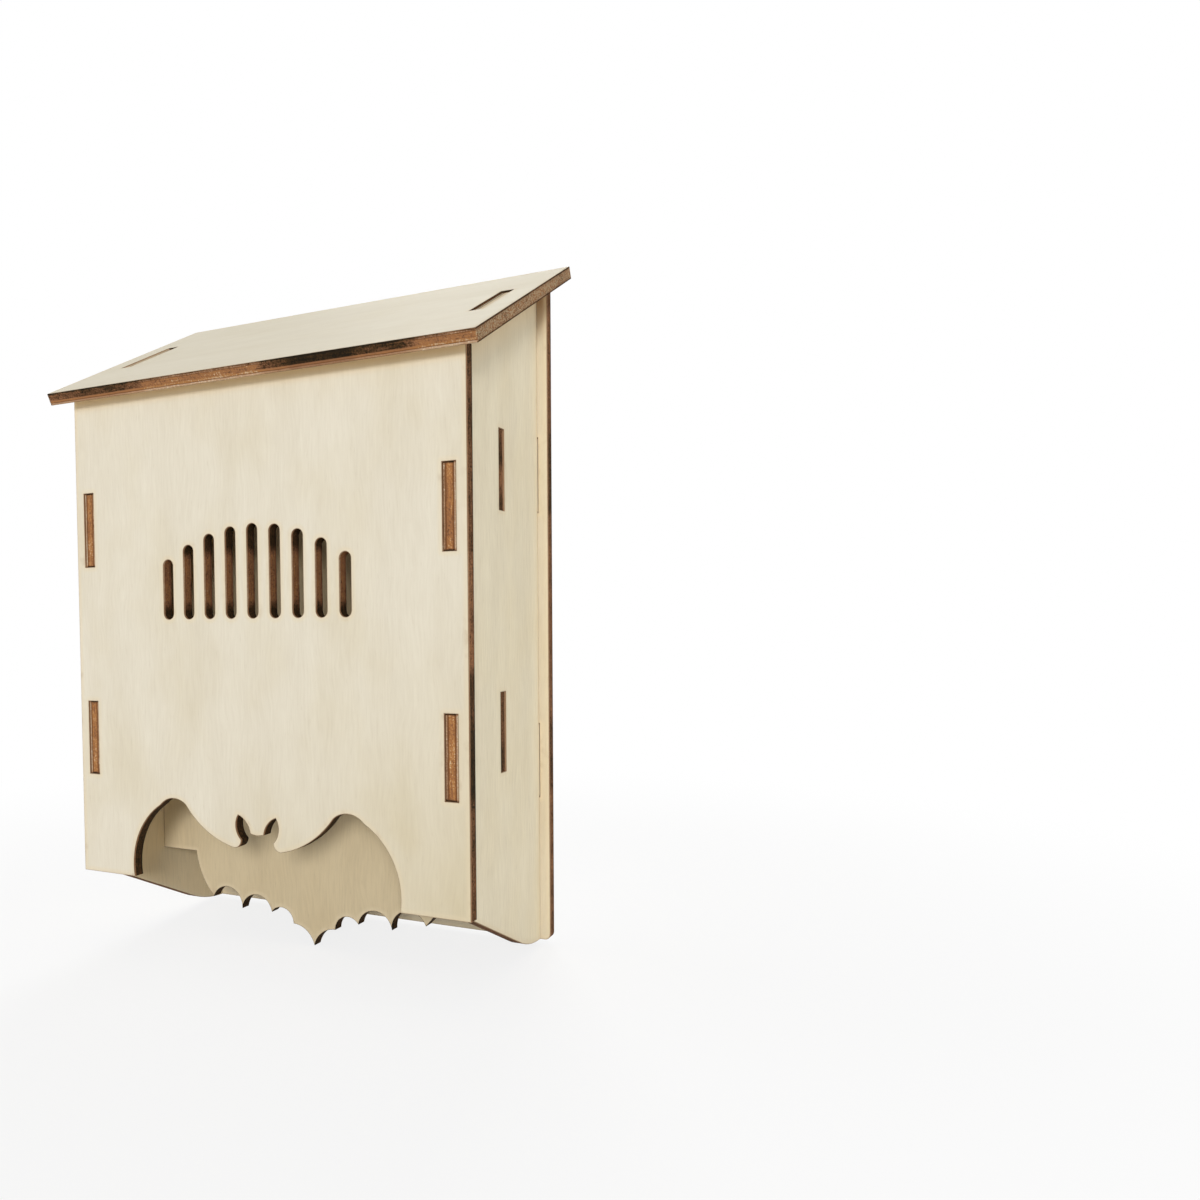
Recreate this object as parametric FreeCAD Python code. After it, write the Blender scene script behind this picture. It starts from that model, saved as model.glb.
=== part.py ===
import FreeCAD, Part
import math
import os

# A wall-hung bat box of six plywood plates, joined by tabs that sit in slots.
# Millimetres. X runs across the box, the front looks towards -Y, and Z is up.
# The origin lies on the wall face, on the centre line, level with the back panel's lower edge.

# Plywood
ply = 3.0
slot_play = 0.1
tab_length = 18.5
tab_recess = 0.3

# Box
panel_width = 110.0
side_inset = 2.7
inner_depth = 46.0
front_height = 121.3
back_drop = 18.0
back_corner_radius = 1.5
foot_radius = 33.0

# Roof
roof_slope = 27.0
roof_front_overhang = 3.85
roof_rear_overhang = 3.7
roof_side_overhang = 4.3
roof_tab_length = 20.0
roof_slot_spare = 1.2
roof_tab_recess = 0.5

# Partition
front_chamber = 20.8
partition_lift = 1.5
partition_roof_gap = 0.5

# Tab centres. Those at the front and in the partition are heights above the front panel's lower edge.
front_tab_heights = (34.7, 87.7)
partition_tab_heights = (37.7, 98.4)
back_tab_heights = (46.0, 118.0)

# Hanging hole
hole_radius = 2.5
hole_below_top = 16.0

# Ventilation slots, in a row under an arch
vent_count = 9
vent_width = 3.0
vent_pitch = 6.3
vent_bottom = 64.8
vent_tallest = 22.0
vent_arch_fall = 7.5

# Bat-shaped entrance. The upper half is cut out of the front panel and open at its lower edge.
wing_half_span = 38.0
hand_mid = (36.4, 11.0)
hand_end = (29.2, 18.8)
wrist_mid = (25.4, 20.7)
wrist_end = (21.2, 19.4)
arm_mid = (14.6, 13.3)
shoulder = (6.8, 10.2)
neck_mid = (5.2, 10.8)
ear_outer_start = (4.6, 12.3)
ear_outer_mid = (6.1, 15.0)
ear_tip = (5.4, 18.2)
ear_inner_mid = (3.1, 16.6)
ear_inner_end = (1.9, 13.9)
crown_height = 13.6

# The lower half hangs from the partition's lower edge: wing tips, feet and tail, below the front's edge.
wing_drop_mid = (36.2, -4.8)
outer_tip = (32.2, -10.4)
outer_web_mid = (26.6, -7.4)
middle_tip = (22.8, -12.6)
middle_web_mid = (18.0, -8.4)
inner_tip = (13.2, -12.4)
inner_web_mid = (9.0, -11.0)
foot_tip = (6.4, -14.6)
tail_web_mid = (2.4, -15.9)
tail_tip_depth = -19.5

# Planes and levels
wall_y = 0.0
back_y = wall_y - ply
front_inner_y = back_y - inner_depth
front_y = front_inner_y - ply
partition_y = front_inner_y + front_chamber
half_width = panel_width / 2
side_outer_x = half_width - side_inset
side_inner_x = side_outer_x - ply
front_bottom = back_drop
front_top = front_bottom + front_height
slope = math.radians(roof_slope)
roof_length = roof_front_overhang + (wall_y - front_y) / math.cos(slope) + roof_rear_overhang


def underside(y):
    """Height of the roof's underside at a depth y."""
    return front_top + (y - front_y) * math.tan(slope)


back_top = underside(back_y)
partition_bottom = front_bottom + partition_lift
partition_top = underside(partition_y) - partition_roof_gap


def block(x0, x1, y0, y1, z0, z1):
    """Box between two corners."""
    return Part.makeBox(x1 - x0, y1 - y0, z1 - z0, FreeCAD.Vector(x0, y0, z0))


def arc(start, middle, end):
    return Part.Arc(start, middle, end).toShape()


def line(start, end):
    return Part.makeLine(start, end)


def plate(edges, thickness):
    """Closed outline of edges pushed along a thickness vector."""
    face = Part.Face(Part.Wire(edges))
    return face.extrude(thickness)


def mirrored(edges):
    """The edges of a right-hand half with their mirror images on the left."""
    centre = FreeCAD.Vector(0, 0, 0)
    across = FreeCAD.Vector(1, 0, 0)
    copies = [edge.mirror(centre, across) for edge in edges]
    return Part.sortEdges(edges + copies)[0]


def bat_point(pair, y):
    """A point of the bat, given across and above the front panel's lower edge."""
    return FreeCAD.Vector(pair[0], y, front_bottom + pair[1])


def bat_cutter():
    """Upper half of the bat: wings, wrists, ears and crown, run past both faces of the front panel."""
    y = front_y - ply
    below = -ply
    runs = (
        ((wing_half_span, 0.0), hand_mid, hand_end),
        (hand_end, wrist_mid, wrist_end),
        (wrist_end, arm_mid, shoulder),
        (shoulder, neck_mid, ear_outer_start),
        (ear_outer_start, ear_outer_mid, ear_tip),
        (ear_tip, ear_inner_mid, ear_inner_end),
    )
    edges = [line(bat_point((0.0, below), y), bat_point((wing_half_span, below), y))]
    edges.append(line(bat_point((wing_half_span, below), y), bat_point((wing_half_span, 0.0), y)))
    for start, middle, end in runs:
        edges.append(arc(bat_point(start, y), bat_point(middle, y), bat_point(end, y)))
    edges.append(line(bat_point(ear_inner_end, y), bat_point((0.0, crown_height), y)))
    return plate(mirrored(edges), FreeCAD.Vector(0, 3 * ply, 0))


def vent_cutter(index):
    """One upright slot with round ends. Its top follows the arch over the row."""
    middle = (vent_count - 1) / 2
    x = (index - middle) * vent_pitch
    reach = (index - middle) / middle
    height = vent_tallest - vent_arch_fall * reach**2
    radius = vent_width / 2
    z0 = front_bottom + vent_bottom + radius
    z1 = z0 + height - vent_width
    y0 = front_y - ply
    y1 = front_inner_y + ply
    slot = block(x - radius, x + radius, y0, y1, z0, z1)
    for z in (z0, z1):
        end = Part.makeCylinder(radius, y1 - y0, FreeCAD.Vector(x, y0, z), FreeCAD.Vector(0, 1, 0))
        slot = slot.fuse(end)
    return slot.removeSplitter()


def mortise(side, y0, y1, height):
    """Slot for a side panel's tab in the front or back panel. side is 1 on the right and -1 on the left."""
    middle = side * (side_inner_x + side_outer_x) / 2
    half_thickness = ply / 2 + slot_play
    half_length = tab_length / 2 + slot_play
    return block(
        middle - half_thickness,
        middle + half_thickness,
        y0 - ply,
        y1 + ply,
        height - half_length,
        height + half_length,
    )


def front_panel():
    panel = block(-half_width, half_width, front_y, front_inner_y, front_bottom, front_top)
    for side in (-1, 1):
        for height in front_tab_heights:
            panel = panel.cut(mortise(side, front_y, front_inner_y, front_bottom + height))
    for index in range(vent_count):
        panel = panel.cut(vent_cutter(index))
    return panel.cut(bat_cutter())


def back_panel():
    """Plate with rounded lower corners, the hanging hole, and slots for the side panels' rear tabs."""
    radius = back_corner_radius
    corner = radius * (1 - math.sqrt(0.5))
    y = back_y
    top = back_top
    edges = [
        line(FreeCAD.Vector(0, y, 0), FreeCAD.Vector(half_width - radius, y, 0)),
        arc(
            FreeCAD.Vector(half_width - radius, y, 0),
            FreeCAD.Vector(half_width - corner, y, corner),
            FreeCAD.Vector(half_width, y, radius),
        ),
        line(FreeCAD.Vector(half_width, y, radius), FreeCAD.Vector(half_width, y, top)),
        line(FreeCAD.Vector(half_width, y, top), FreeCAD.Vector(0, y, top)),
    ]
    panel = plate(mirrored(edges), FreeCAD.Vector(0, ply, 0))
    for side in (-1, 1):
        for height in back_tab_heights:
            panel = panel.cut(mortise(side, back_y, wall_y, height))
    start = FreeCAD.Vector(0, back_y - ply, top - hole_below_top)
    hole = Part.makeCylinder(hole_radius, 3 * ply, start, FreeCAD.Vector(0, 1, 0))
    return panel.cut(hole)


def side_outline():
    """Outline of a side panel on the plane X = 0: slanted top, slanted foot that curves level at the back."""
    front_low = FreeCAD.Vector(0, front_inner_y, front_bottom)
    front_high = FreeCAD.Vector(0, front_inner_y, underside(front_inner_y))
    back_high = FreeCAD.Vector(0, back_y, back_top)
    back_low = FreeCAD.Vector(0, back_y, 0)
    # The foot's arc is level at the back panel, and the straight slant from the front is tangent to it.
    run = back_y - front_inner_y
    rise = foot_radius - front_bottom
    reach = math.hypot(run, rise)
    angle = math.asin(foot_radius / reach) - math.atan2(rise, run)
    slant_end = foot_point(angle)
    arc_middle = foot_point(angle / 2)
    return [
        line(front_low, front_high),
        line(front_high, back_high),
        line(back_high, back_low),
        arc(back_low, arc_middle, slant_end),
        line(slant_end, front_low),
    ]


def foot_point(angle):
    """Point on the foot's arc, an angle forward of its level end."""
    y = back_y - foot_radius * math.sin(angle)
    z = foot_radius * (1 - math.cos(angle))
    return FreeCAD.Vector(0, y, z)


def along_roof(shape):
    """Turns a shape from the roof's own frame, Y up the slope and Z off the underside, into the box."""
    shape = shape.copy()
    shape.rotate(FreeCAD.Vector(0, 0, 0), FreeCAD.Vector(1, 0, 0), roof_slope)
    shape.translate(FreeCAD.Vector(0, front_y, front_top))
    return shape


def roof_tab_span():
    """Ends of the roof tab along the slope. It is centred on the side panel's slanted top edge."""
    top_start = ply / math.cos(slope)
    top_end = (ply + inner_depth) / math.cos(slope)
    middle = (top_start + top_end) / 2
    return middle - roof_tab_length / 2, middle + roof_tab_length / 2


def side_panel(side):
    """Side plate with two front tabs, two rear tabs, one roof tab, and two slots for the partition."""
    x0 = side_inner_x
    x1 = side_outer_x
    panel = plate(side_outline(), FreeCAD.Vector(ply, 0, 0))
    panel.translate(FreeCAD.Vector(x0, 0, 0))
    half = tab_length / 2
    for height in front_tab_heights:
        z = front_bottom + height
        panel = panel.fuse(block(x0, x1, front_y + tab_recess, front_inner_y, z - half, z + half))
    for height in back_tab_heights:
        panel = panel.fuse(block(x0, x1, back_y, wall_y - tab_recess, height - half, height + half))
    start, end = roof_tab_span()
    roof_tab = block(x0, x1, start, end, -ply, ply - roof_tab_recess)
    panel = panel.fuse(along_roof(roof_tab))
    y0 = partition_y - slot_play
    y1 = partition_y + ply + slot_play
    for height in partition_tab_heights:
        z = front_bottom + height
        panel = panel.cut(block(x0 - ply, x1 + ply, y0, y1, z - half - slot_play, z + half + slot_play))
    panel = panel.removeSplitter()
    if side < 0:
        panel = panel.mirror(FreeCAD.Vector(0, 0, 0), FreeCAD.Vector(1, 0, 0))
    return panel


def roof_panel():
    """Slanting plate. It has slid down until the upper ends of its slots rest on the side panels' tabs."""
    half_roof = half_width + roof_side_overhang
    start = -roof_front_overhang
    panel = block(-half_roof, half_roof, start, start + roof_length, 0, ply)
    tab_start, tab_end = roof_tab_span()
    middle = (side_inner_x + side_outer_x) / 2
    half_thickness = ply / 2 + slot_play
    for side in (-1, 1):
        x0 = side * middle - half_thickness
        x1 = side * middle + half_thickness
        panel = panel.cut(block(x0, x1, tab_start - roof_slot_spare, tab_end, -ply, 2 * ply))
    return along_roof(panel)


def partition_panel():
    """Plate between the two chambers. Its lower edge is the lower half of the bat."""
    y = partition_y
    lift = partition_lift
    runs = (
        ((wing_half_span, lift), wing_drop_mid, outer_tip),
        (outer_tip, outer_web_mid, middle_tip),
        (middle_tip, middle_web_mid, inner_tip),
        (inner_tip, inner_web_mid, foot_tip),
        (foot_tip, tail_web_mid, (0.0, tail_tip_depth)),
    )
    wall_low = FreeCAD.Vector(side_inner_x, y, partition_bottom)
    wall_high = FreeCAD.Vector(side_inner_x, y, partition_top)
    edges = [
        line(FreeCAD.Vector(0, y, partition_top), wall_high),
        line(wall_high, wall_low),
        line(wall_low, bat_point((wing_half_span, lift), y)),
    ]
    for start, middle, end in runs:
        edges.append(arc(bat_point(start, y), bat_point(middle, y), bat_point(end, y)))
    panel = plate(mirrored(edges), FreeCAD.Vector(0, ply, 0))
    half = tab_length / 2
    reach = side_outer_x - tab_recess
    for height in partition_tab_heights:
        z = front_bottom + height
        panel = panel.fuse(block(-reach, reach, y, y + ply, z - half, z + half))
    return panel.removeSplitter()


def main():
    nodes = {
        "front_panel": front_panel(),
        "back_panel": back_panel(),
        "side_panel_left": side_panel(-1),
        "side_panel_right": side_panel(1),
        "partition_panel": partition_panel(),
        "roof_panel": roof_panel(),
    }
    os.makedirs("parts", exist_ok=True)
    for name, shape in nodes.items():
        solid = shape.Solids[0]
        solid.exportStep(f"parts/{name}.step")
        box = solid.BoundBox
        size = f"{box.XLength:.1f} x {box.YLength:.1f} x {box.ZLength:.1f}"
        print(f"{name}: {len(shape.Solids)} solid, valid {solid.isValid()}, {size} mm, {solid.Volume:.0f} mm3")


main()
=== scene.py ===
import logging
import math
from collections.abc import Iterable
from dataclasses import dataclass
from enum import Enum, IntEnum
from typing import Any

import bmesh
import bpy
import numpy as np
from mathutils import Matrix, Vector


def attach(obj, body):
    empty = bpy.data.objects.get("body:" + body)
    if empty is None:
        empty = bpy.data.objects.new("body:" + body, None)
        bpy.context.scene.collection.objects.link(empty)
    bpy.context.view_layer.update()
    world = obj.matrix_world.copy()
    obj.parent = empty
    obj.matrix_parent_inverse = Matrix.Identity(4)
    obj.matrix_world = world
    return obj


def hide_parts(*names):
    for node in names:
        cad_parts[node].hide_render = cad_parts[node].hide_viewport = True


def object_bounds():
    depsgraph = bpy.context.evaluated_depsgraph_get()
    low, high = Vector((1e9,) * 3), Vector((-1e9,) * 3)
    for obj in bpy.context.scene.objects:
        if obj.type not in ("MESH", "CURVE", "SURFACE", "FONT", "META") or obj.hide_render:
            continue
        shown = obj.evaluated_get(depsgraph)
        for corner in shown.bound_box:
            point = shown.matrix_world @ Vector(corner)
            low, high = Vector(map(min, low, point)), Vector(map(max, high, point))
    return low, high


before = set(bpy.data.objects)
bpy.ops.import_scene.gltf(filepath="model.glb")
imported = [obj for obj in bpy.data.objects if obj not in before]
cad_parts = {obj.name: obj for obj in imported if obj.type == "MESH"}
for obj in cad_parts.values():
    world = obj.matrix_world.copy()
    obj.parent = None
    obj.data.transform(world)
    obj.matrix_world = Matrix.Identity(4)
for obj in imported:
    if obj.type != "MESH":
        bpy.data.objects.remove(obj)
CAD_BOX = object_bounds()

LOG = logging.getLogger("bat_box")
MILLIMETRE = 0.001
PHOTO_WIDTH = 1200
SENSOR_WIDTH = 36.0
# Half a plate's thickness, in millimetres
HALF_SHEET = 1.5
# Slide of a pattern along the grain for each millimetre of slide across it
SLIDE_ALONG = 1.7
# Cosine between a face's normal and a direction, above which it lies flat to it, or looks along it
FLAT = 0.999
STEEP = 0.5
# Distances within which vertices are merged, and within which they lie on a cut, in metres
MERGED = 1e-6
ON_CUT = 1e-7
# Angles below which faces are merged, and above which edges stay sharp
SMOOTH_ANGLE = math.radians(0.5)
SHARP_ANGLE = math.radians(18)
# How many distances are worked out at once
BATCH = 2000

Colour = tuple[float, float, float]
Triple = tuple[float, float, float]


def paint(red: int, green: int, blue: int) -> Colour:
    """Turns a display colour into the linear colour that a shader takes.

    Args:
        red: Red, from 0 to 255.
        green: Green, from 0 to 255.
        blue: Blue, from 0 to 255.

    Returns:
        The three linear parts, from 0 to 1.
    """
    parts = (part / 255 for part in (red, green, blue))
    return tuple(((part + 0.055) / 1.055) ** 2.4 for part in parts)


class Direction(Enum):
    """Named directions of the box: its front looks along FRONT."""

    RIGHT = (1.0, 0.0, 0.0)
    LEFT = (-1.0, 0.0, 0.0)
    FRONT = (0.0, -1.0, 0.0)
    UP = (0.0, 0.0, 1.0)

    @property
    def vector(self) -> Vector:
        """The direction as a vector."""
        return Vector(self.value)


class Surface(IntEnum):
    """Kinds of mesh face on a plate, numbered as its finishes are."""

    VENEER = 0
    LINING = 1
    CUT = 2


class Pattern(Enum):
    """Patterns of the wood, with their size across, along and through a plate, in millimetres."""

    SWAY = (11, 26, 11)
    FIGURE = (6, 45, 6)
    FIBRES = (0.5, 7, 0.5)
    PORES = (0.3, 3.2, 0.3)
    PATCHES = (17, 26, 17)
    SMOKE = (3.5, 5, 3.5)
    PLIES = (3, 3, 3)
    STREAKS = (0.45, 0.45, 3)
    CUT_FIBRES = (0.3, 4, 0.25)
    CLOUDS = (6, 6, 6)
    DOTS = (0.6, 0.6, 0.6)
    GRIT = (0.28, 0.28, 0.28)
    FLECKS = (0.4, 0.4, 0.3)


class Number:
    """A shader value. Sums and products of such values add Math nodes."""

    def __init__(self, graph: "Graph", socket: bpy.types.NodeSocket) -> None:
        """Wraps an output socket of the graph."""
        self.graph = graph
        self.socket = socket

    def _math(self, operation: str, *values: Any, clamp: bool = False) -> "Number":
        """Adds one Math node.

        Args:
            operation: The node's operation.
            values: Its inputs, in order.
            clamp: Whether the result is kept from 0 to 1.

        Returns:
            The node's result.
        """
        settings = {"operation": operation, "use_clamp": clamp}
        node = self.graph.node("ShaderNodeMath", settings, dict(enumerate(values)))
        return Number(self.graph, node.outputs[0])

    def __add__(self, other: Any) -> "Number":
        """self + other."""
        return self._math("ADD", self, other)

    def __radd__(self, other: Any) -> "Number":
        """other + self."""
        return self._math("ADD", other, self)

    def __sub__(self, other: Any) -> "Number":
        """self - other."""
        return self._math("SUBTRACT", self, other)

    def __rsub__(self, other: Any) -> "Number":
        """other - self."""
        return self._math("SUBTRACT", other, self)

    def __mul__(self, other: Any) -> "Number":
        """self * other."""
        return self._math("MULTIPLY", self, other)

    def __rmul__(self, other: Any) -> "Number":
        """other * self."""
        return self._math("MULTIPLY", other, self)

    def __truediv__(self, other: Any) -> "Number":
        """self / other."""
        return self._math("DIVIDE", self, other)

    def __rtruediv__(self, other: Any) -> "Number":
        """other / self."""
        return self._math("DIVIDE", other, self)

    def __abs__(self) -> "Number":
        """The value without its sign."""
        return self._math("ABSOLUTE", self)

    def clamped(self) -> "Number":
        """The value kept from 0 to 1."""
        return self._math("ADD", self, 0.0, clamp=True)

    def ramp_up(self, low: float, high: float) -> "Number":
        """Rises smoothly from 0 at low to 1 at high.

        Args:
            low: Where the rise starts.
            high: Where it ends.

        Returns:
            The risen value.
        """
        settings = {"interpolation_type": "SMOOTHSTEP"}
        inputs = {"Value": self, "From Min": low, "From Max": high}
        node = self.graph.node("ShaderNodeMapRange", settings, inputs)
        return Number(self.graph, node.outputs["Result"])

    def ramp_down(self, low: float, high: float) -> "Number":
        """Falls smoothly from 1 at low to 0 at high."""
        return 1 - self.ramp_up(low, high)


class Graph:
    """The nodes of one material, or of the world."""

    def __init__(self, owner: bpy.types.Material | bpy.types.World) -> None:
        """Starts an empty graph with its output.

        Args:
            owner: The material or world that gets the nodes.
        """
        self.owner = owner
        owner.use_nodes = True
        self.tree = owner.node_tree
        self.tree.nodes.clear()
        kind = "World" if isinstance(owner, bpy.types.World) else "Material"
        self.output = self.node(f"ShaderNodeOutput{kind}", {}, {})

    @classmethod
    def of_material(cls, name: str) -> "Graph":
        """Starts the graph of a new material."""
        return cls(bpy.data.materials.new(name))

    def finish(self, shader: bpy.types.Node) -> None:
        """Sends a shader to the output."""
        self._feed(self.output.inputs["Surface"], shader.outputs[0])

    def node(self, kind: str, settings: dict[str, Any], inputs: dict[Any, Any]) -> bpy.types.Node:
        """Adds a node.

        Args:
            kind: The node's type.
            settings: Its properties, set first. "stops" fills a colour ramp.
            inputs: Values or links of its sockets, by name or number.

        Returns:
            The new node.
        """
        node = self.tree.nodes.new(kind)
        for name, value in settings.items():
            if name == "stops":
                self._fill_ramp(node.color_ramp, value)
            else:
                setattr(node, name, value)
        for key, value in inputs.items():
            self._feed(node.inputs[key], value)
        return node

    def _feed(self, socket: bpy.types.NodeSocket, value: Any) -> None:
        """Links a socket, or sets its own value.

        Args:
            socket: The input socket.
            value: A Number, an output socket, a colour of three parts, or a plain value.
        """
        if isinstance(value, Number):
            value = value.socket
        if isinstance(value, bpy.types.NodeSocket):
            self.tree.links.new(value, socket)
        elif socket.type == "RGBA":
            socket.default_value = (*value, 1.0)
        else:
            socket.default_value = value

    def _fill_ramp(self, ramp: bpy.types.ColorRamp, stops: Iterable[tuple[float, Colour]]) -> None:
        """Gives a colour ramp its stops.

        Args:
            ramp: The ramp, with its two first elements.
            stops: Places from 0 to 1 with their colours, in order.
        """
        stops = list(stops)
        while len(ramp.elements) < len(stops):
            ramp.elements.new(1.0)
        for element, (place, colour) in zip(ramp.elements, stops):
            element.position = place
            element.color = (*colour, 1.0)

    def attribute(self, name: str) -> Number:
        """Reads a number that the piece's mesh carries."""
        node = self.node("ShaderNodeAttribute", {"attribute_name": name}, {})
        return Number(self, node.outputs["Fac"])

    def vector(self, operation: str, *inputs: Any) -> bpy.types.NodeSocket:
        """Adds a Vector Math node.

        Args:
            operation: The node's operation.
            inputs: Its vectors, in order. The scale of SCALE comes last.

        Returns:
            The resulting vector.
        """
        keys = (0, "Scale") if operation == "SCALE" else (0, 1, 2)
        node = self.node("ShaderNodeVectorMath", {"operation": operation}, dict(zip(keys, inputs)))
        return node.outputs["Vector"]

    def noise(self, place: Any, pattern: Pattern, detail: float) -> Number:
        """Adds smooth noise.

        Args:
            place: The plate's own coordinates, in millimetres.
            pattern: The pattern whose size the noise has.
            detail: How many finer layers it has.

        Returns:
            A value around 0.5.
        """
        scaled = self.vector("DIVIDE", place, pattern.value)
        inputs = {"Vector": scaled, "Scale": 1.0, "Detail": detail}
        node = self.node("ShaderNodeTexNoise", {"noise_dimensions": "3D"}, inputs)
        return Number(self, node.outputs["Fac"])

    def mix(self, share: Any, first: Any, second: Any) -> bpy.types.NodeSocket:
        """Blends two colours.

        Args:
            share: How much of the second colour, from 0 to 1.
            first: The colour at 0.
            second: The colour at 1.

        Returns:
            The blended colour.
        """
        node = self.node("ShaderNodeMix", {"data_type": "RGBA"}, {0: share, 6: first, 7: second})
        return node.outputs[2]

    def object_place(self) -> bpy.types.NodeSocket:
        """The place on the object, in metres."""
        return self.node("ShaderNodeTexCoord", {}, {}).outputs["Object"]

    def part(self, vector: Any, axis: str) -> Number:
        """One part of a vector: X, Y or Z."""
        return Number(self, self.node("ShaderNodeSeparateXYZ", {}, {0: vector}).outputs[axis])

    def measure(self, operation: str, *inputs: Any) -> Number:
        """Adds a Vector Math node whose result is a number, such as LENGTH."""
        node = self.node("ShaderNodeVectorMath", {"operation": operation}, dict(enumerate(inputs)))
        return Number(self, node.outputs["Value"])

    def seen(self) -> Number:
        """Tells what the camera sees straight, in a mirror or through glass from what lights the box.

        Returns:
            1 for what the camera sees, and 0 for light.
        """
        path = self.node("ShaderNodeLightPath", {}, {})
        rays = ("Is Camera Ray", "Is Glossy Ray", "Is Transmission Ray")
        camera, glossy, through = (Number(self, path.outputs[ray]) for ray in rays)
        return (camera + glossy + through).clamped()

    def ramp(self, value: Number, stops: Iterable[tuple[float, Colour]]) -> bpy.types.NodeSocket:
        """Turns a value into a colour between stops."""
        return self.node("ShaderNodeValToRGB", {"stops": stops}, {"Fac": value}).outputs["Color"]

    def wood(
        self, colour: Any, roughness: Number, height: Number, depth: float, gloss: float
    ) -> bpy.types.Material:
        """Ends the graph with a wood surface.

        Args:
            colour: Its colour.
            roughness: Its roughness.
            height: Relief, from 0 to 1.
            depth: Depth of the relief, in metres.
            gloss: Strength of its reflections.

        Returns:
            The finished material.
        """
        bump = self.node("ShaderNodeBump", {}, {"Strength": 1.0, "Distance": depth, "Height": height})
        inputs = {"Base Color": colour, "Roughness": roughness, "Normal": bump.outputs["Normal"]}
        inputs["Specular IOR Level"] = gloss
        self.finish(self.node("ShaderNodeBsdfPrincipled", {}, inputs))
        return self.owner


@dataclass(frozen=True)
class SheetAxes:
    """Own axes of one plate: across the grain, along the grain and through the plies.

    Attributes:
        outward: Unit vector out of the plate's better face.
        grain: Unit vector along the face grain.
        middle: Height of the plate's middle plane along outward, in metres.
    """

    outward: Vector
    grain: Vector
    middle: float

    @property
    def across(self) -> Vector:
        """Unit vector across the grain, in the plate's plane."""
        return self.grain.cross(self.outward)

    def place(self, graph: Graph, shift: float) -> bpy.types.NodeSocket:
        """Object coordinates turned into the plate's own, in millimetres.

        Args:
            graph: The material's graph.
            shift: Distance by which the pattern is slid in the plate's plane, in millimetres.

        Returns:
            The place as a vector.
        """
        turn = Matrix((self.across, self.grain, self.outward))
        inputs = {
            "Vector": graph.object_place(),
            "Location": (shift, SLIDE_ALONG * shift, -self.middle / MILLIMETRE),
            "Rotation": turn.to_euler("XYZ"),
            "Scale": (1 / MILLIMETRE,) * 3,
        }
        return graph.node("ShaderNodeMapping", {"vector_type": "POINT"}, inputs).outputs["Vector"]


@dataclass(frozen=True)
class PaintedEavesShade:
    """Painted shade: the brown, darker colour painted on the plates close under the roof, for the roof's
    shadow and the warm light off its underside.

    Attributes:
        normal: Unit vector up out of the roof.
        height: Height of the roof's underside along it, in metres.
        colour: The painted shade's colour.
    """

    normal: Vector
    height: float
    colour: Colour = paint(216, 184, 132)

    def over(self, graph: Graph, colour: Any, strength: float, depth: float) -> bpy.types.NodeSocket:
        """Paints the shade under the roof into a plate's colour.

        Args:
            graph: The material's graph.
            colour: The plate's colour.
            strength: How strong the painted shade is against the roof.
            depth: How far down it reaches, in millimetres.

        Returns:
            The shaded colour.
        """
        height = graph.measure("DOT_PRODUCT", graph.object_place(), self.normal)
        gap = (self.height - height) / MILLIMETRE
        return graph.mix(gap.ramp_down(0.0, depth) * strength, colour, self.colour)


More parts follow.
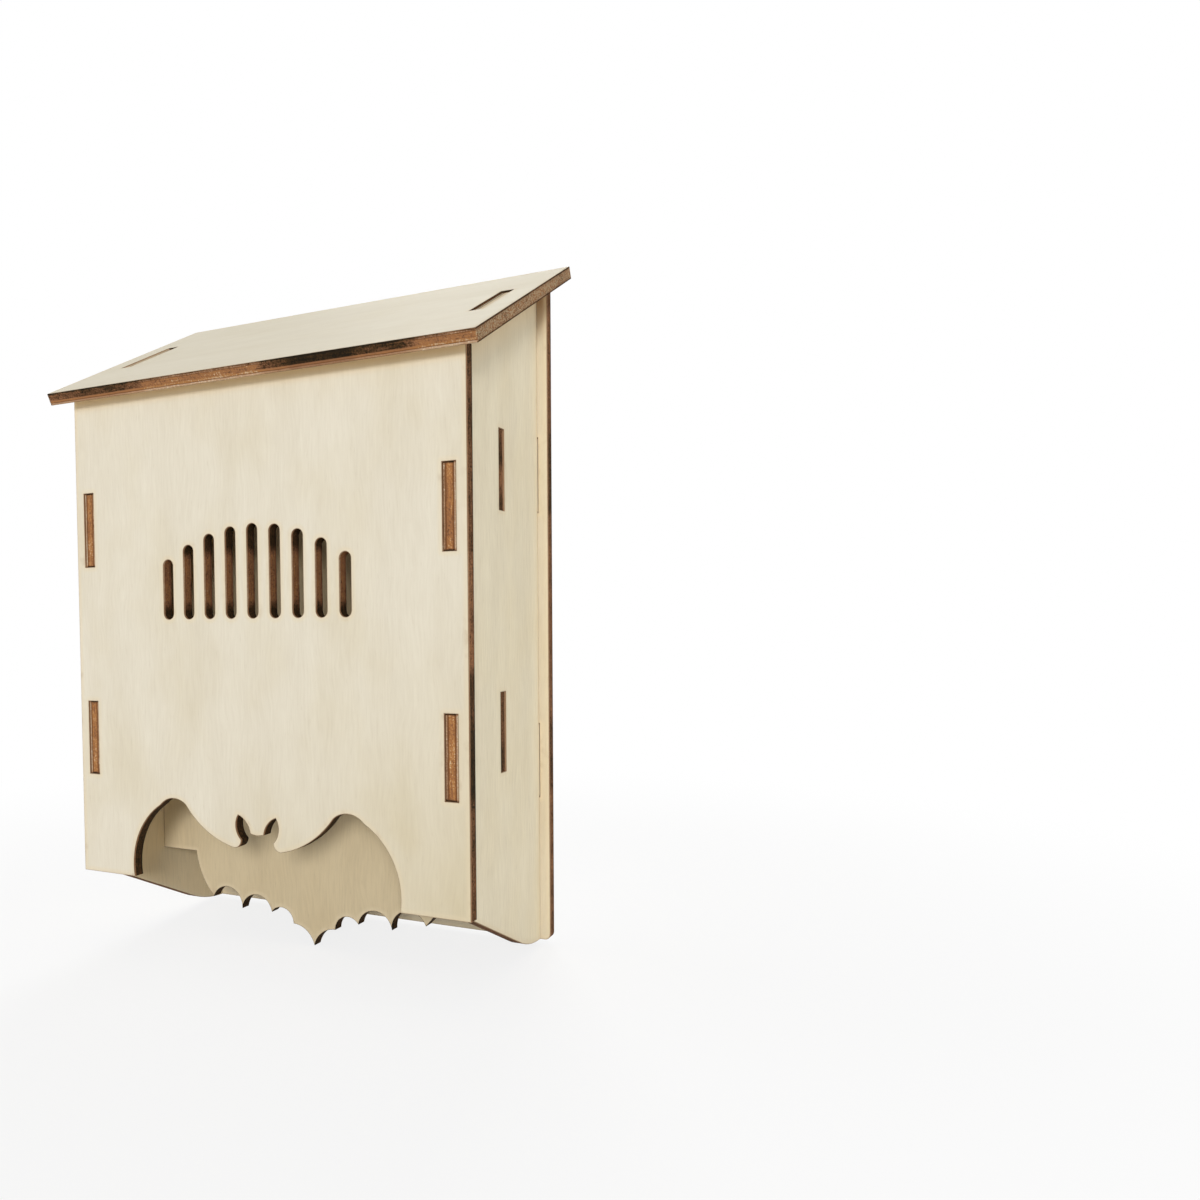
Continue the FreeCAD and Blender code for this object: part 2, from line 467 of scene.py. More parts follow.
@dataclass(frozen=True)
class Veneer:
    """Finish of a plate's faces: pale rotary-cut veneer, tinted by heat beside its cut edges.

    Attributes:
        name: The finish's name.
        colour: Main colour.
        tint: Colour of the warmer patches.
        shade: Colour of pores and of the darker grain.
        scorch: Colour of smoke beside a cut.
        heat: Colour of the wood that the laser has warmed.
        grain_strength: How much the grain shows.
        heat_strength: How much the warmed rim shows.
        yellowing: How much yellower the veneer is towards its lower right corner.
        eaves_shade: The painted shade under the roof, where the veneer meets it.
        shading: How strong that painted shade is.
        shade_depth: How far down it reaches, in millimetres.
        sway: How far the grain strays sideways, in millimetres.
        corner_reach: Distance from the middle over which the yellowing grows, in millimetres.
        warm_reach: Distances from a cut between which the warmth fades, in millimetres.
        smoke_reach: The same for the smoke.
        toast_reach: The same for the brown line along the cut.
        shift: Slide of the pattern, so that no two plates look alike, in millimetres.
    """

    name: str
    colour: Colour = paint(232, 224, 205)
    tint: Colour = paint(222, 209, 178)
    shade: Colour = paint(176, 158, 124)
    scorch: Colour = paint(150, 112, 70)
    heat: Colour = paint(229, 212, 179)
    grain_strength: float = 0.5
    heat_strength: float = 0.5
    yellowing: float = 0.0
    eaves_shade: PaintedEavesShade | None = None
    shading: float = 0.42
    shade_depth: float = 9.0
    sway: float = 5.0
    corner_reach: float = 60.0
    warm_reach: tuple[float, float] = (0.2, 1.5)
    smoke_reach: tuple[float, float] = (0.1, 1.6)
    toast_reach: tuple[float, float] = (0.02, 0.25)
    shift: float = 0.0

    def material(self, axes: SheetAxes) -> bpy.types.Material:
        """Makes the finish for one plate.

        Args:
            axes: The plate's own axes.

        Returns:
            The material.
        """
        graph = Graph.of_material(self.name)
        place = axes.place(graph, self.shift)
        sway = (graph.noise(place, Pattern.SWAY, 2) - 0.5) * self.sway
        wavy = graph.vector("ADD", place, graph.vector("SCALE", (1, 0, 0), sway))
        figure = graph.noise(wavy, Pattern.FIGURE, 3)
        fibres = graph.noise(wavy, Pattern.FIBRES, 3)
        pores = graph.noise(wavy, Pattern.PORES, 2).ramp_up(0.6, 0.76)
        grey = (fibres - 0.5) * 0.62 + (figure - 0.5) * 0.5 + pores * 0.24
        darker = (0.1 + grey * self.grain_strength).clamped()
        colour = graph.mix(darker, self._tinted(graph, place), self.shade)
        # Painted shade: darkens and browns the veneer close under the roof.
        if self.eaves_shade:
            colour = self.eaves_shade.over(graph, colour, self.shading, self.shade_depth)
        colour = self._heated(graph, place, colour, figure)
        roughness = 0.6 + figure * 0.12
        relief = 0.5 + (fibres - 0.5) * 0.5 - pores * 0.4
        return graph.wood(colour, roughness, relief, depth=0.00002, gloss=0.3)

    def _tinted(self, graph: Graph, place: Any) -> bpy.types.NodeSocket:
        """Adds the warmer patches and the yellower corner to the main colour.

        Args:
            graph: The material's graph.
            place: The plate's own coordinates, in millimetres.

        Returns:
            The tinted colour.
        """
        patches = graph.noise(place, Pattern.PATCHES, 3).ramp_up(0.4, 0.72)
        across = graph.part(place, "X") - self.shift
        along = graph.part(place, "Y") - SLIDE_ALONG * self.shift
        corner = (across * 0.9 - along).ramp_up(-self.corner_reach, self.corner_reach)
        tinted = patches * 0.34 + corner * self.yellowing
        return graph.mix(tinted.clamped(), self.colour, self.tint)

    def _heated(self, graph: Graph, place: Any, colour: Any, figure: Number) -> bpy.types.NodeSocket:
        """Warms, smokes and browns the veneer beside its cuts.

        Args:
            graph: The material's graph.
            place: The plate's own coordinates, in millimetres.
            colour: The veneer's colour away from the cuts.
            figure: The veneer's figure, by which the warmth varies.

        Returns:
            The colour with the laser's traces.
        """
        rim = graph.attribute("rim")
        warm = rim.ramp_down(*self.warm_reach) * (0.6 + figure * 0.8) * self.heat_strength
        colour = graph.mix(warm.clamped(), colour, self.heat)
        smoke = graph.noise(place, Pattern.SMOKE, 3).ramp_up(0.58, 0.74) * rim.ramp_down(*self.smoke_reach)
        colour = graph.mix((smoke * 0.22).clamped(), colour, self.scorch)
        return graph.mix(rim.ramp_down(*self.toast_reach) * 0.2, colour, self.scorch)


@dataclass(frozen=True)
class CutEdge:
    """Finish of a plate's laser-cut edges: two paler plies round a golden core, burnt to charcoal in places.

    Attributes:
        name: The finish's name.
        core: Colours of the middle ply, from scarcely to wholly burnt.
        outer: Colours of the outer plies, in the same order.
        stops: Burn of each colour.
        glue: Colour of the glue lines.
        line: Colour of the thin dark lines along the plate's rims.
        ply_line: Half the middle ply's thickness, in millimetres.
        ply_blur: How far the plies' colours blend to each side of it, in millimetres.
        glue_width: Thickness of a glue line, in millimetres.
        line_rise: Heights above the plate's middle between which the dark line sets in, in millimetres.
        pale_side: 1 where the rim on the plate's better side stays pale, and -1 where the other does.
        pale_depth: How deep that rim is, in millimetres.
        dark_rise: Heights between which the opposite rim darkens, in millimetres.
        darkening: What that rim adds to the burn.
        end_place: Distance of the plate's left and right ends from the box's middle, in millimetres,
            where they are flecked between two dark rims, or None.
        end_rise: Heights between which those rims darken, in millimetres.
        end_darkening: What they add to the burn.
        fleck_colour: Colour of the flecks.
        fleck_fall: Heights between which the flecks end, in millimetres.
        shift: Slide of the pattern, in millimetres.
    """

    name: str
    core: tuple[Colour, ...] = (
        paint(222, 204, 170),
        paint(168, 117, 70),
        paint(158, 110, 72),
        paint(134, 94, 66),
        paint(103, 71, 48),
        paint(66, 48, 28),
        paint(36, 29, 20),
    )
    outer: tuple[Colour, ...] = (
        paint(226, 212, 184),
        paint(186, 150, 118),
        paint(166, 130, 98),
        paint(138, 101, 74),
        paint(110, 78, 55),
        paint(72, 53, 33),
        paint(38, 31, 22),
    )
    stops: tuple[float, ...] = (0.0, 0.12, 0.3, 0.46, 0.62, 0.82, 1.0)
    glue: Colour = paint(108, 66, 36)
    line: Colour = paint(66, 48, 28)
    ply_line: float = 0.9
    ply_blur: float = 0.04
    glue_width: float = 0.16
    line_rise: tuple[float, float] = (1.36, 1.44)
    pale_side: int = 1
    pale_depth: float = 0.5
    dark_rise: tuple[float, float] = (0.9, 1.3)
    darkening: float = 0.25
    end_place: float | None = None
    end_rise: tuple[float, float] = (1.05, 1.3)
    end_darkening: float = 0.42
    fleck_colour: Colour = paint(198, 184, 148)
    fleck_fall: tuple[float, float] = (0.95, 1.15)
    shift: float = 0.0

    def material(self, axes: SheetAxes) -> bpy.types.Material:
        """Makes the finish for one plate.

        Args:
            axes: The plate's own axes.

        Returns:
            The material.
        """
        graph = Graph.of_material(self.name)
        place = axes.place(graph, self.shift)
        height = graph.part(place, "Z")
        slanted = graph.vector("ADD", place, graph.vector("SCALE", (0.7, 0.7, 0), height))
        streaks = graph.noise(slanted, Pattern.STREAKS, 2) - 0.5
        dots = graph.noise(place, Pattern.DOTS, 3).ramp_up(0.54, 0.68)
        ends = self._ends(graph) if self.end_place else None
        burn = self._burn(graph, place, streaks * 0.55 + dots * 0.22, ends)
        depth = abs(height) + (graph.noise(place, Pattern.PLIES, 2) - 0.5) * 0.2
        outside = depth.ramp_up(self.ply_line - self.ply_blur, self.ply_line + self.ply_blur)
        core, outer = (graph.ramp(burn, zip(self.stops, colours)) for colours in (self.core, self.outer))
        half, fresh = self.glue_width / 2, burn.ramp_down(0.45, 0.7)
        glue = abs(depth - self.ply_line).ramp_down(half * 0.6, half * 1.5) * fresh * 0.8
        colour = graph.mix(glue, graph.mix(outside, core, outer), self.glue)
        colour = graph.mix(abs(height).ramp_up(*self.line_rise) * 0.45, colour, self.line)
        if ends:
            flecks = graph.noise(place, Pattern.FLECKS, 2).ramp_up(0.42, 0.62)
            shown = ends * flecks * abs(height).ramp_down(*self.fleck_fall) * 0.6
            colour = graph.mix(shown, colour, self.fleck_colour)
        roughness = 0.7 + burn * 0.15
        relief = 0.5 + streaks * 0.6 - dots * 0.3 - glue * 0.3
        return graph.wood(colour, roughness, relief, depth=0.00006, gloss=0.05)

    def _ends(self, graph: Graph) -> Number:
        """1 on the plate's left and right ends, and 0 elsewhere."""
        reach = abs(graph.part(graph.object_place(), "X")) / MILLIMETRE
        return reach.ramp_up(self.end_place - 0.3, self.end_place - 0.15)

    def _burn(self, graph: Graph, place: Any, marks: Number, ends: Number | None) -> Number:
        """Varies the burn that the mesh carries, by the rims and by a mottling.

        Args:
            graph: The material's graph.
            place: The plate's own coordinates, in millimetres.
            marks: Streaks and dots that belong to the mottling.
            ends: 1 on the flecked ends and 0 elsewhere, if the plate has them.

        Returns:
            The burn, from 0 to 1.
        """
        height = graph.part(place, "Z")
        pale_start, pale_full = HALF_SHEET - self.pale_depth, HALF_SHEET - self.pale_depth * 0.8
        pale = (height * self.pale_side).ramp_up(pale_start, pale_full)
        dark = (height * -self.pale_side).ramp_up(*self.dark_rise) * self.darkening
        if ends:
            pale = pale * (1 - ends)
            dark = dark * (1 - ends) + abs(height).ramp_up(*self.end_rise) * ends * self.end_darkening
        fibres = graph.noise(place, Pattern.CUT_FIBRES, 2) - 0.5
        clouds = graph.noise(place, Pattern.CLOUDS, 2) - 0.5
        grit = graph.noise(place, Pattern.GRIT, 1) - 0.5
        mottle = clouds * 0.45 + marks + fibres * 0.9 + grit * 0.8
        base = graph.attribute("burn")
        uneven = (0.35 + base * (1 - base) * 2.0) * (1 - pale * 0.7)
        return (base + mottle * uneven + dark - pale * (0.02 + base * 0.56)).clamped()


@dataclass(frozen=True)
class Stretch:
    """A length of cut edge that is burnt more, or less, than the rest.

    Attributes:
        low: Where it starts, in millimetres.
        high: Where it ends, in millimetres.
        change: What it adds to the burn.
        soft: Length over which it sets in, in millimetres.
    """

    low: float
    high: float
    change: float
    soft: float = 1.2

    def at(self, place: float) -> float:
        """Tells the change at a place.

        Args:
            place: The place, in millimetres.

        Returns:
            What it adds to the burn there.
        """
        inside = min(place - self.low, self.high - place)
        return self.change * min(max(inside / self.soft + 0.5, 0.0), 1.0)


class RimLines:
    """The straight pieces that make up the rims of one veneer."""

    def __init__(self, mesh: bmesh.types.BMesh, outward: Vector) -> None:
        """Collects the rims of the veneer that looks along a direction.

        Args:
            mesh: The plate's mesh, with its rims rounded.
            outward: Unit vector out of that veneer.
        """
        faces = {face for face in mesh.faces if face.normal.dot(outward) > FLAT}
        edges = {edge for face in faces for edge in face.edges}
        border = [edge for edge in edges if not all(face in faces for face in edge.link_faces)]
        ends = np.array([[vertex.co[:] for vertex in edge.verts] for edge in border])
        self.start = ends[:, 0]
        self.run = ends[:, 1] - ends[:, 0]

    def distances(self, vertices: list[bmesh.types.BMVert]) -> np.ndarray:
        """Distance of each vertex to the nearest rim, in millimetres.

        Args:
            vertices: Vertices of the veneer.

        Returns:
            One distance for each vertex.
        """
        nearest = []
        points = np.array([vertex.co[:] for vertex in vertices])
        for part in np.array_split(points, len(points) // BATCH + 1):
            offset = part[:, None] - self.start
            share = (offset * self.run).sum(2) / (self.run * self.run).sum(1)
            gap = offset - self.run * np.clip(share, 0, 1)[..., None]
            nearest.append(np.sqrt((gap * gap).sum(2).min(1)))
        return np.concatenate(nearest) / MILLIMETRE


@dataclass
class Plate:
    """One plywood plate, made from a merged copy of its CAD node, with rounded rims and a fine mesh.

    Attributes:
        node: The CAD node that it replaces.
        outward: Direction out of its better face.
        grain: Direction of its face grain.
        veneer: Finish of its better face.
        lining: Finish of its other face.
        cut: Finish of its cut edges.
        burn: How far the cut edges are burnt, from 0 to 1.
        rim_radius: Radius of the rounded rims, in metres.
        cell: Size of the mesh's cells, in metres, which carry the distance to the nearest rim.
        heights: More heights at which the mesh is cut, in millimetres.
        splits: How many finer cells a cell beside a rim is cut into, each way.
        reach: Distance from a rim within which cells are finer, in millimetres.
    """

    node: str
    outward: Vector
    grain: Vector
    veneer: Veneer
    lining: Veneer
    cut: CutEdge
    burn: float = 0.62
    rim_radius: float = 0.0001
    cell: float = 0.0025
    heights: tuple[float, ...] = ()
    splits: int = 3
    reach: float = 2.0

    def burn_at(self, place: Vector, normal: Vector) -> float:
        """Tells how far a cut edge is burnt.

        Args:
            place: A point of a cut edge, in metres.
            normal: The cut's normal there.

        Returns:
            The burn, from 0 to 1.
        """
        return self.burn

    def build(self) -> bpy.types.Object:
        """Builds the plate and puts it in place of its node.

        Returns:
            The finished piece.
        """
        mesh = bmesh.new()
        mesh.from_mesh(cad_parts[self.node].data)
        bmesh.ops.remove_doubles(mesh, verts=mesh.verts, dist=MERGED)
        bmesh.ops.dissolve_limit(mesh, angle_limit=SMOOTH_ANGLE, verts=mesh.verts, edges=mesh.edges)
        heights = [vertex.co.dot(self.outward) for vertex in mesh.verts]
        axes = SheetAxes(self.outward, self.grain, (min(heights) + max(heights)) / 2)
        self._round_rims(mesh)
        mesh.normal_update()
        rims = [RimLines(mesh, self.outward), RimLines(mesh, -self.outward)]
        self._refine(mesh, axes, rims)
        self._measure(mesh, rims)
        name = self.node.replace("panel", "plate")
        data = bpy.data.meshes.new(name)
        mesh.to_mesh(data)
        mesh.free()
        data.set_sharp_from_angle(angle=SHARP_ANGLE)
        for finish in (self.veneer, self.lining, self.cut):
            data.materials.append(finish.material(axes))
        piece = bpy.data.objects.new(name, data)
        bpy.context.scene.collection.objects.link(piece)
        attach(piece, "root")
        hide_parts(self.node)
        return piece

    def _surface(self, face: bmesh.types.BMFace) -> Surface:
        """The kind of surface that a mesh face belongs to."""
        slope = face.normal.dot(self.outward)
        return Surface.CUT if abs(slope) < FLAT else Surface(int(slope < 0))

    def _round_rims(self, mesh: bmesh.types.BMesh) -> None:
        """Rounds the rims between veneer and cut edges.

        Args:
            mesh: The plate's mesh.
        """
        mesh.normal_update()
        rims = []
        for edge in mesh.edges:
            surfaces = {self._surface(face) for face in edge.link_faces}
            if len(surfaces) == 2 and Surface.CUT in surfaces:
                rims.append(edge)
        bmesh.ops.bevel(
            mesh,
            geom=rims,
            offset=self.rim_radius,
            offset_type="OFFSET",
            segments=2,
            profile=0.5,
            affect="EDGES",
            material=-1,
            clamp_overlap=False,
        )

    def _veneers(self, mesh: bmesh.types.BMesh) -> list[list[bmesh.types.BMFace]]:
        """Collects the mesh faces of both veneers.

        Args:
            mesh: The plate's mesh.

        Returns:
            The faces of the better veneer, and those of the other.
        """
        mesh.normal_update()
        kinds = (Surface.VENEER, Surface.LINING)
        return [[face for face in mesh.faces if self._surface(face) is kind] for kind in kinds]

    def _refine(self, mesh: bmesh.types.BMesh, axes: SheetAxes, rims: list[RimLines]) -> None:
        """Cuts the mesh into cells, and the veneers into finer ones beside their rims.

        Args:
            mesh: The plate's mesh.
            axes: The plate's own axes.
            rims: The rims of its two veneers.
        """
        for height in self.heights:
            parts = mesh.verts[:] + mesh.edges[:] + mesh.faces[:]
            self._slice(mesh, parts, Direction.UP.vector, height * MILLIMETRE)
        for fine in (False, True):
            for axis in (axes.across, axes.grain):
                places = [vertex.co.dot(axis) for vertex in mesh.verts]
                low, high = min(places), max(places)
                count = math.ceil((high - low) / self.cell)
                width = (high - low) / count
                if fine:
                    self._refine_beside(mesh, axis, low, width, rims)
                    continue
                for index in range(1, count):
                    parts = mesh.verts[:] + mesh.edges[:] + mesh.faces[:]
                    self._slice(mesh, parts, axis, low + width * index)

    def _refine_beside(
        self, mesh: bmesh.types.BMesh, axis: Vector, low: float, width: float, rims: list[RimLines]
    ) -> None:
        """Cuts the cells beside the rims into finer ones, one column of cells after another.

        Args:
            mesh: The plate's mesh.
            axis: Direction across the cuts.
            low: Where the first column starts.
            width: Width of a column.
            rims: The rims of its two veneers.
        """
        columns = {}
        for faces, lines in zip(self._veneers(mesh), rims):
            vertices = list(dict.fromkeys(vertex for face in faces for vertex in face.verts))
            near = {vertex for vertex, gap in zip(vertices, lines.distances(vertices)) if gap < self.reach}
            for face in faces:
                if near.intersection(face.verts):
                    column = int((face.calc_center_median().dot(axis) - low) / width)
                    columns.setdefault(column, []).append(face)
        for column, members in sorted(columns.items()):
            parts = list(dict.fromkeys(part for face in members for part in (face, *face.edges, *face.verts)))
            for index in range(1, self.splits):
                parts = self._slice(mesh, parts, axis, low + width * (column + index / self.splits))

    @staticmethod
    def _slice(mesh: bmesh.types.BMesh, parts: list, axis: Vector, place: float) -> list:
        """Cuts parts of the mesh along a plane.

        Args:
            mesh: The mesh.
            parts: The parts to cut.
            axis: Normal of the plane.
            place: Its distance from the origin along the normal.

        Returns:
            The parts after the cut.
        """
        cut = bmesh.ops.bisect_plane(mesh, geom=parts, dist=ON_CUT, plane_co=axis * place, plane_no=axis)
        return cut["geom"]

    def _measure(self, mesh: bmesh.types.BMesh, rims: list[RimLines]) -> None:
        """Stores each veneer vertex's distance to the nearest rim, and each face's burn and finish.

        Args:
            mesh: The plate's mesh.
            rims: The rims of its two veneers.
        """
        rim = mesh.verts.layers.float.new("rim")
        burn = mesh.loops.layers.float.new("burn")
        for faces, lines in zip(self._veneers(mesh), rims):
            vertices = list(dict.fromkeys(vertex for face in faces for vertex in face.verts))
            for vertex, gap in zip(vertices, lines.distances(vertices)):
                vertex[rim] = gap
        for face in mesh.faces:
            face.smooth = True
            face.material_index = self._surface(face)
            for loop in face.loops:
                loop[burn] = self.burn_at(loop.vert.co, face.normal)


@dataclass
class UprightPlate(Plate):
    """A plate whose outermost cut edges are burnt unevenly up their height.

    Attributes:
        burn: How far the other cut edges are burnt, from 0 to 1.
        edge_burn: How far the outermost ones are burnt.
        half_width: Distance of those edges from the box's middle, in metres.
        stretches: Changes of burn up those edges.
        openings: Changes of burn up the other cut edges.
    """

    burn: float = 0.84
    edge_burn: float = 0.62
    half_width: float = 0.055
    stretches: tuple[Stretch, ...] = ()
    openings: tuple[Stretch, ...] = ()

    def burn_at(self, place: Vector, normal: Vector) -> float:
        """Tells the burn by height, of the outermost edges or of the others.

        Args:
            place: A point of a cut edge, in metres.
            normal: The cut's normal there.

        Returns:
            The burn, from 0 to 1.
        """
        outermost = abs(place.x) > self.half_width - self.cell
        base, changes = (self.edge_burn, self.stretches) if outermost else (self.burn, self.openings)
        return base + sum(change.at(place.z / MILLIMETRE) for change in changes)


@dataclass
class SidePlate(Plate):
    """A side, whose tab ends are scarcely burnt between their dark tips.

    Attributes:
        tab_reach: Depths in front of and behind which a face is a front or rear tab's end, in metres.
        tab_burn: Burn of those ends.
        tip_burn: Burn of the front ends' upper and lower tips.
        tips: Heights of the tips, in millimetres.
        tip_reach: How far up and down a tip's burn reaches, in millimetres.
        top_burn: Burn of the tab's end in the roof.
        top_height: Height above which a cut that looks up is that end, in metres.
        heights: More heights at which the mesh is cut, in millimetres.
    """

    tab_reach: tuple[float, float] = (-0.051, -0.001)
    tab_burn: float = 0.26
    tip_burn: float = 1.0
    tips: tuple[float, ...] = (43.5, 62.0, 96.5, 115.0)
    tip_reach: float = 0.3
    top_burn: float = -0.1
    top_height: float = 0.13
    heights: tuple[float, ...] = (43.9, 61.6, 96.9, 114.6)

    def burn_at(self, place: Vector, normal: Vector) -> float:
        """Tells the burn of the tabs' ends, and the plate's own burn elsewhere.

        Args:
            place: A point of a cut edge, in metres.
            normal: The cut's normal there.

        Returns:
            The burn, from 0 or less to 1.
        """
        if normal.z > STEEP and place.z > self.top_height:
            return self.top_burn
        front, rear = self.tab_reach
        if place.y < front and normal.y < -STEEP:
            nearest = min(abs(place.z / MILLIMETRE - tip) for tip in self.tips)
            return self.tip_burn if nearest < self.tip_reach else self.tab_burn
        if place.y > rear and normal.y > STEEP:
            return self.tab_burn
        return self.burn


@dataclass
class RoofPlate(Plate):
    """The roof, whose front edge has charcoal stretches beside reddish ones.

    Attributes:
        front_depth: Depth in front of which a cut belongs to the front edge, in metres.
        end_burn: Burn of the cuts at its left and right ends.
        slot_burns: Burn of the left and right slots' long walls.
        slot_reach: Distance from the roof's middle within which those walls lie, in metres.
        stretches: Changes of burn along the front edge.
    """

    front_depth: float = -0.053
    end_burn: float = 0.39
    slot_burns: tuple[float, float] = (-0.15, 0.5)
    slot_reach: float = 0.056
    stretches: tuple[Stretch, ...] = (
        Stretch(-60, -50, -0.04),
        Stretch(-48, -34, 0.14),
        Stretch(-34, -28, -0.06),
        Stretch(-28, 7, -0.34),
        Stretch(8, 14, 0.12),
        Stretch(14, 31, 0.32),
        Stretch(31, 43, 0.12),
        Stretch(45, 60, -0.32),
    )

    def burn_at(self, place: Vector, normal: Vector) -> float:
        """Tells the burn along the front edge, at the ends, in the slots, and elsewhere.

        Args:
            place: A point of a cut edge, in metres.
            normal: The cut's normal there.

        Returns:
            The burn, from 0 or less to 1.
        """
        if abs(normal.x) > STEEP:
            left, right = self.slot_burns
            slot = right if place.x > 0 else left
            return slot if abs(place.x) < self.slot_reach else self.end_burn
        if place.y < self.front_depth:
            return self.burn + sum(stretch.at(place.x / MILLIMETRE) for stretch in self.stretches)
        return self.burn


@dataclass
class BatBox:
    """The whole box: four plates round the two chambers, the partition between them, and the roof.

    Attributes:
        roof_slope: Angle of the roof, in degrees.
    """

    roof_slope: float = 27.0

    def plates(self) -> list[Plate]:
        """Lists the plates with their finishes.

        Returns:
            The six plates.
        """
        slope = math.radians(self.roof_slope)
        front, up = Direction.FRONT.vector, Direction.UP.vector
        off_roof = Vector((0, -math.sin(slope), math.cos(slope)))
        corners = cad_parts["roof_panel"].data.vertices
        underside = min(corner.co.dot(off_roof) for corner in corners)
        roof_end = CAD_BOX[1].x / MILLIMETRE
        # Painted shade under the roof, for its shadow and the warm light off its underside; darker and deeper
        # on the back's wings.
        eaves_shade = PaintedEavesShade(off_roof, underside)
        dark_eaves_shade = PaintedEavesShade(off_roof, underside, paint(158, 120, 86))
        # The sides' veneer is paler than the front's: partly the sides' own yellower tone, partly painted
        # light for the lower light on the sides.
        side = dict(colour=paint(241, 230, 202), tint=paint(234, 218, 180), grain_strength=0.7, eaves_shade=eaves_shade)
        lining = dict(colour=paint(240, 220, 180), tint=paint(230, 204, 158), grain_strength=0.8)
        golden = CutEdge.core[:1] + (paint(186, 133, 80), paint(163, 110, 68)) + CutEdge.core[3:]
        sides = [
            SidePlate(
                f"side_panel_{name}",
                Direction[name.upper()].vector,
                up,
                Veneer(f"{name}_veneer", shift=shift, **side),
                Veneer(f"{name}_lining", shift=shift + 50, **lining),
                CutEdge(f"{name}_cut", golden, glue_width=0.4, darkening=0.0, shift=cut_shift),
            )
            for name, shift, cut_shift in (("left", 330, 80), ("right", 470, 120))
        ]
        return [
            UprightPlate(
                "front_panel",
                front,
                up,
                Veneer(
                    "front_veneer",
                    tint=paint(217, 204, 172),
                    yellowing=0.9,
                    eaves_shade=eaves_shade,
                    shading=0.85,
                    shade_depth=4.0,
                ),
                Veneer("front_lining", shift=50, **lining),
                CutEdge("front_cut"),
                stretches=(
                    Stretch(43, 59, 0.28),
                    Stretch(59, 70, 0.16),
                    Stretch(71, 96, -0.15),
                    Stretch(117, 140, 0.06),
                ),
                openings=(Stretch(86.5, 98, -0.5),),
            ),
            UprightPlate(
                "back_panel",
                front,
                up,
                Veneer(
                    "back_veneer",
                    # Darker than the front's veneer of the same plywood: painted shade on the back's wings.
                    colour=paint(220, 208, 183),
                    tint=paint(212, 194, 160),
                    grain_strength=0.6,
                    eaves_shade=dark_eaves_shade,
                    shading=0.95,
                    shade_depth=13.0,
                    shift=210,
                ),
                Veneer("back_lining", shift=260),
                CutEdge("back_cut", shift=40),
                edge_burn=0.55,
                stretches=(Stretch(38, 56, 0.16), Stretch(109, 129, 0.22)),
            ),
            *sides,
            UprightPlate(
                "partition_panel",
                front,
                up,
                Veneer(
                    "partition_veneer",
                    # Darker and yellower than the front's veneer: painted shade and warm reflected light of
                    # the chamber behind the bat opening.
                    colour=paint(216, 199, 164),
                    tint=paint(205, 185, 147),
                    grain_strength=1.0,
                    shift=590,
                ),
                Veneer("partition_lining", shift=640, **lining),
                # The darker rim on the front side of the partition's cuts is partly burn and partly painted
                # shade in the narrow gaps beside its tab ends.
                CutEdge("partition_cut", pale_side=-1, pale_depth=0.2, shift=160),
                half_width=0.052,
                stretches=(
                    Stretch(47, 52, 0.2),
                    Stretch(107, 111, 0.2),
                    Stretch(111, 117, -0.08),
                    Stretch(117, 121, 0.25),
                ),
            ),
            RoofPlate(
                "roof_panel",
                off_roof,
                Direction.RIGHT.vector,
                Veneer(
                    "roof_veneer",
                    # Paler than the front's veneer of the same plywood: painted light, making up for the
                    # lower light on the roof.
                    colour=paint(239, 231, 210),
                    tint=paint(233, 223, 197),
                    grain_strength=0.3,
                    shift=730,
                ),
                Veneer("roof_lining", shift=780, **lining),
                CutEdge("roof_cut", pale_side=-1, pale_depth=1.25, end_place=roof_end, shift=200),
            ),
        ]

    def build(self) -> list[bpy.types.Object]:
        """Builds every plate and returns the pieces."""
        return [plate.build() for plate in self.plates()]


@dataclass
class Lamp:
    """A soft area lamp aimed at the box.

    Attributes:
        name: Its name.
        place: Where it stands, in metres.
        size: Its width and height, in metres.
        power: Its power, in watts.
    """

    name: str
    place: Triple
    size: tuple[float, float]
    power: float

    def build(self, target: Vector) -> None:
        """Adds the lamp.

        Args:
            target: The point that it looks at.
        """
        light = bpy.data.lights.new(self.name, "AREA")
        light.shape = "RECTANGLE"
        light.size, light.size_y = self.size
        light.energy = self.power
        lamp = bpy.data.objects.new(self.name, light)
        lamp.location = self.place
        lamp.rotation_euler = (target - Vector(self.place)).to_track_quat("-Z", "Y").to_euler()
        lamp.visible_camera = False
        bpy.context.scene.collection.objects.link(lamp)


@dataclass
class Viewpoint:
    """The camera at the photograph's viewing angle.

    Attributes:
        place: Where it stands, in metres.
        turn: Turn to the left from straight ahead, in degrees.
        tilt: Tilt upwards, in degrees.
        roll: Roll clockwise, in degrees.
        focal: Focal length, in pixels of the photograph.
        shift: Lens shift across and up, in frame widths.
    """

    place: Triple = (0.1409, -0.2426, 0.0818)
    turn: float = 27.05
    tilt: float = -2.25
    roll: float = 0.63
    focal: float = 1002.0
    shift: tuple[float, float] = (0.15, 0.05)

    def build(self) -> None:
        """Adds the camera and makes it the scene's."""
        turn, tilt, roll = (math.radians(angle) for angle in (self.turn, self.tilt, self.roll))
        ahead = Vector((-math.sin(turn) * math.cos(tilt), math.cos(turn) * math.cos(tilt), math.sin(tilt)))
        level = Vector((math.cos(turn), math.sin(turn), 0))
        down = ahead.cross(level)
        right = level * math.cos(roll) + down * math.sin(roll)
        up = level * math.sin(roll) - down * math.cos(roll)
        data = bpy.data.cameras.new("viewpoint")
        data.sensor_width = SENSOR_WIDTH
        data.lens = self.focal / PHOTO_WIDTH * SENSOR_WIDTH
        data.shift_x, data.shift_y = self.shift
        camera = bpy.data.objects.new("viewpoint", data)
        turned = Matrix((right, up, -ahead)).transposed().to_4x4()
        camera.matrix_world = Matrix.Translation(Vector(self.place)) @ turned
        bpy.context.scene.collection.objects.link(camera)
        bpy.context.scene.camera = camera


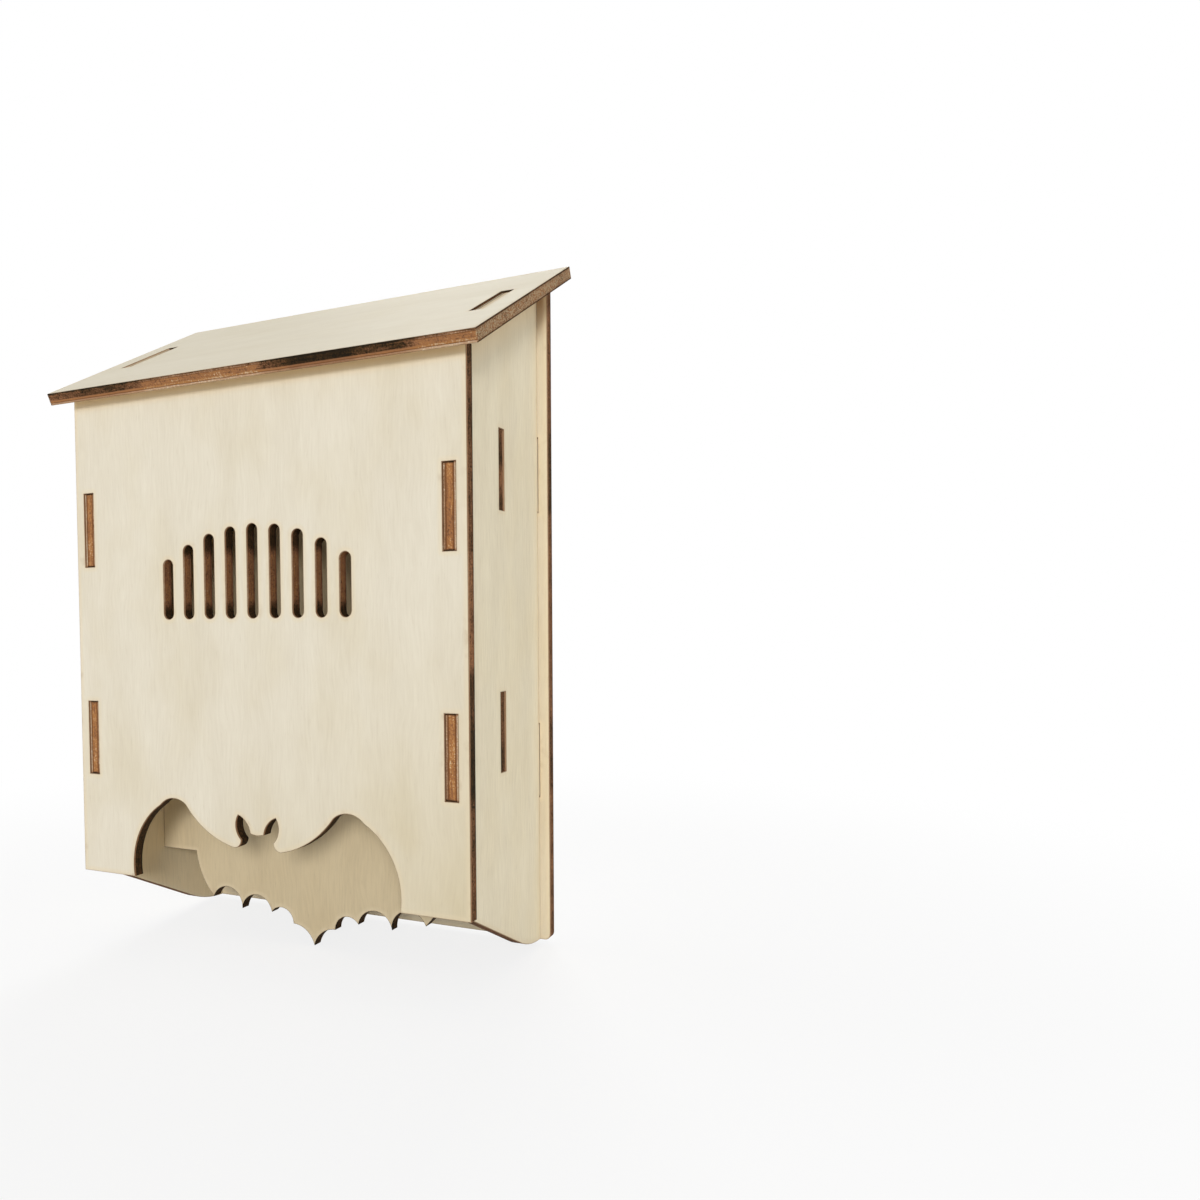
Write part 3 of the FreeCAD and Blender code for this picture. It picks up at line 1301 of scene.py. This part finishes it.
@dataclass
class Studio:
    """White floor, even light and lamps.

    Attributes:
        floor_half: Half the floor's side, in metres.
        floor_colour: The floor's colour.
        floor_glow: How much of the floor the camera sees as plain white under the box, from 0 to 1.
        floor_fade: Distances between which the floor fades to plain white, in metres.
        sky: Strength of the even light.
        lamps: The lamps.
    """

    floor_half: float = 3.0
    floor_colour: Colour = (0.86, 0.86, 0.86)
    floor_glow: float = 0.82
    floor_fade: tuple[float, float] = (0.1, 0.32)
    sky: float = 0.39
    lamps: tuple[Lamp, ...] = (
        Lamp("key", (1.23, -2.638, 0.826), (0.64, 0.64), 45.0),
        Lamp("right_fill", (1.142, -0.228, 0.395), (0.5, 0.5), 1.0),
        Lamp("left_fill", (-1.142, -0.228, 0.395), (0.5, 0.5), 2.5),
        Lamp("rear_fill", (-0.35, 1.0, 0.6), (0.5, 0.5), 8.0),
    )

    def build(self) -> None:
        """Builds the floor, the even light and the lamps."""
        low, high = CAD_BOX
        self._floor(low.z)
        self._sky()
        for lamp in self.lamps:
            lamp.build((low + high) / 2)
        bpy.context.scene.view_settings.view_transform = "Standard"

    def _floor(self, height: float) -> None:
        """Lays the floor under the box. Away from the box the camera sees it as plain white.

        Args:
            height: The floor's height, in metres.
        """
        graph = Graph.of_material("floor")
        cloth = graph.node("ShaderNodeBsdfDiffuse", {}, {"Color": self.floor_colour})
        white = graph.node("ShaderNodeEmission", {}, {"Color": (1, 1, 1), "Strength": 1.0})
        away = graph.measure("LENGTH", graph.object_place()).ramp_up(*self.floor_fade)
        glow = self.floor_glow + away * (1 - self.floor_glow)
        inputs = {0: graph.seen() * glow, 1: cloth.outputs[0], 2: white.outputs[0]}
        graph.finish(graph.node("ShaderNodeMixShader", {}, inputs))
        mesh = bmesh.new()
        bmesh.ops.create_grid(mesh, x_segments=1, y_segments=1, size=self.floor_half)
        bmesh.ops.translate(mesh, verts=mesh.verts, vec=(0, 0, height))
        data = bpy.data.meshes.new("floor")
        mesh.to_mesh(data)
        mesh.free()
        data.materials.append(graph.owner)
        floor = bpy.data.objects.new("floor", data)
        bpy.context.scene.collection.objects.link(floor)

    def _sky(self) -> None:
        """Fills the world with even light, which the camera sees as white."""
        world = bpy.data.worlds.new("sky")
        bpy.context.scene.world = world
        graph = Graph(world)
        kind, white = "ShaderNodeBackground", (1, 1, 1)
        light = graph.node(kind, {}, {"Color": white, "Strength": self.sky})
        backdrop = graph.node(kind, {}, {"Color": white, "Strength": 1.0})
        inputs = {0: graph.seen(), 1: light.outputs[0], 2: backdrop.outputs[0]}
        graph.finish(graph.node("ShaderNodeMixShader", {}, inputs))


def main() -> None:
    """Builds the box, the studio and the camera."""
    logging.basicConfig(level=logging.INFO, format="%(message)s")
    Viewpoint().build()
    Studio().build()
    for piece in BatBox().build():
        LOG.info("%s: %d faces", piece.name, len(piece.data.polygons))


if __name__ == "__main__":
    main()
